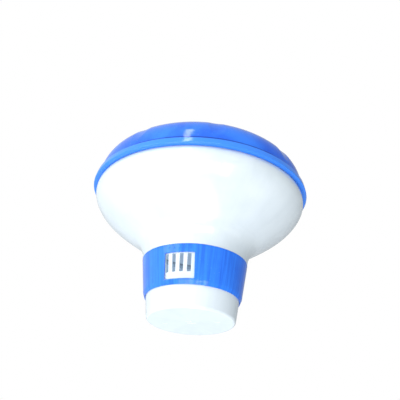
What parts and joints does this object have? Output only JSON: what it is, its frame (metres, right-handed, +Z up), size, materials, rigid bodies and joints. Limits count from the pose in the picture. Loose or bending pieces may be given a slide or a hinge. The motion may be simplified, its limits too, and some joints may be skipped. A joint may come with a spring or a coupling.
{
  "type": "floating chlorine dispenser",
  "caption": "Round hollow float with a domed two-tone shell, a child-resistant cap over a tablet chamber and a slotted basket below with a turning regulator ring.",
  "frame": {"origin": "centre of the tablet basket's flat bottom, on which the dispenser stands", "axes": "+Z up along the turning axis, -Y through the front window of the regulator ring, +X to its right"},
  "size_m": [0.2034, 0.2034, 0.1679],
  "materials": {
    "white_plastic": "smooth moulded polypropylene",
    "blue_plastic": "smooth moulded polypropylene",
    "seal_rubber": "matte",
    "spring_steel": "bright stainless"
  },
  "bodies": {
    "float": {"float_bowl": "white_plastic", "top_cover": "blue_plastic", "rim_seal": "seal_rubber", "chamber_tube": "white_plastic", "upper_tube_seal": "seal_rubber", "lower_tube_seal": "seal_rubber", "tablet_basket": "white_plastic"},
    "regulator": {"regulator_ring": "blue_plastic"},
    "cap_seal": {"cap_gasket": "seal_rubber"},
    "cap": {"cap_plug": "white_plastic", "cap_spring": "spring_steel"},
    "cap_grip": {"cap_shell": "blue_plastic"}
  },
  "joints": [
    {"name": "regulator_turn", "type": "hinge", "parent": "float", "child": "regulator", "pos_m": [0, 0, 0.037], "axis": [0, 0, 1], "range_deg": [-2.5, 36]},
    {"name": "cap_lift", "type": "slide", "parent": "float", "child": "cap_seal", "axis": [0, 0, 1], "range_m": [0, 0.08]},
    {"name": "cap_turn", "type": "hinge", "parent": "cap_seal", "child": "cap", "pos_m": [0, 0, 0.16], "axis": [0, 0, 1], "range_deg": [-40, 0]},
    {"name": "cap_push", "type": "slide", "parent": "cap", "child": "cap_grip", "axis": [0, 0, -1], "range_m": [0, 0.001], "stiffness_N_per_m": 3000, "springref_m": -0.001, "deforming": ["cap_spring"]}
  ]
}
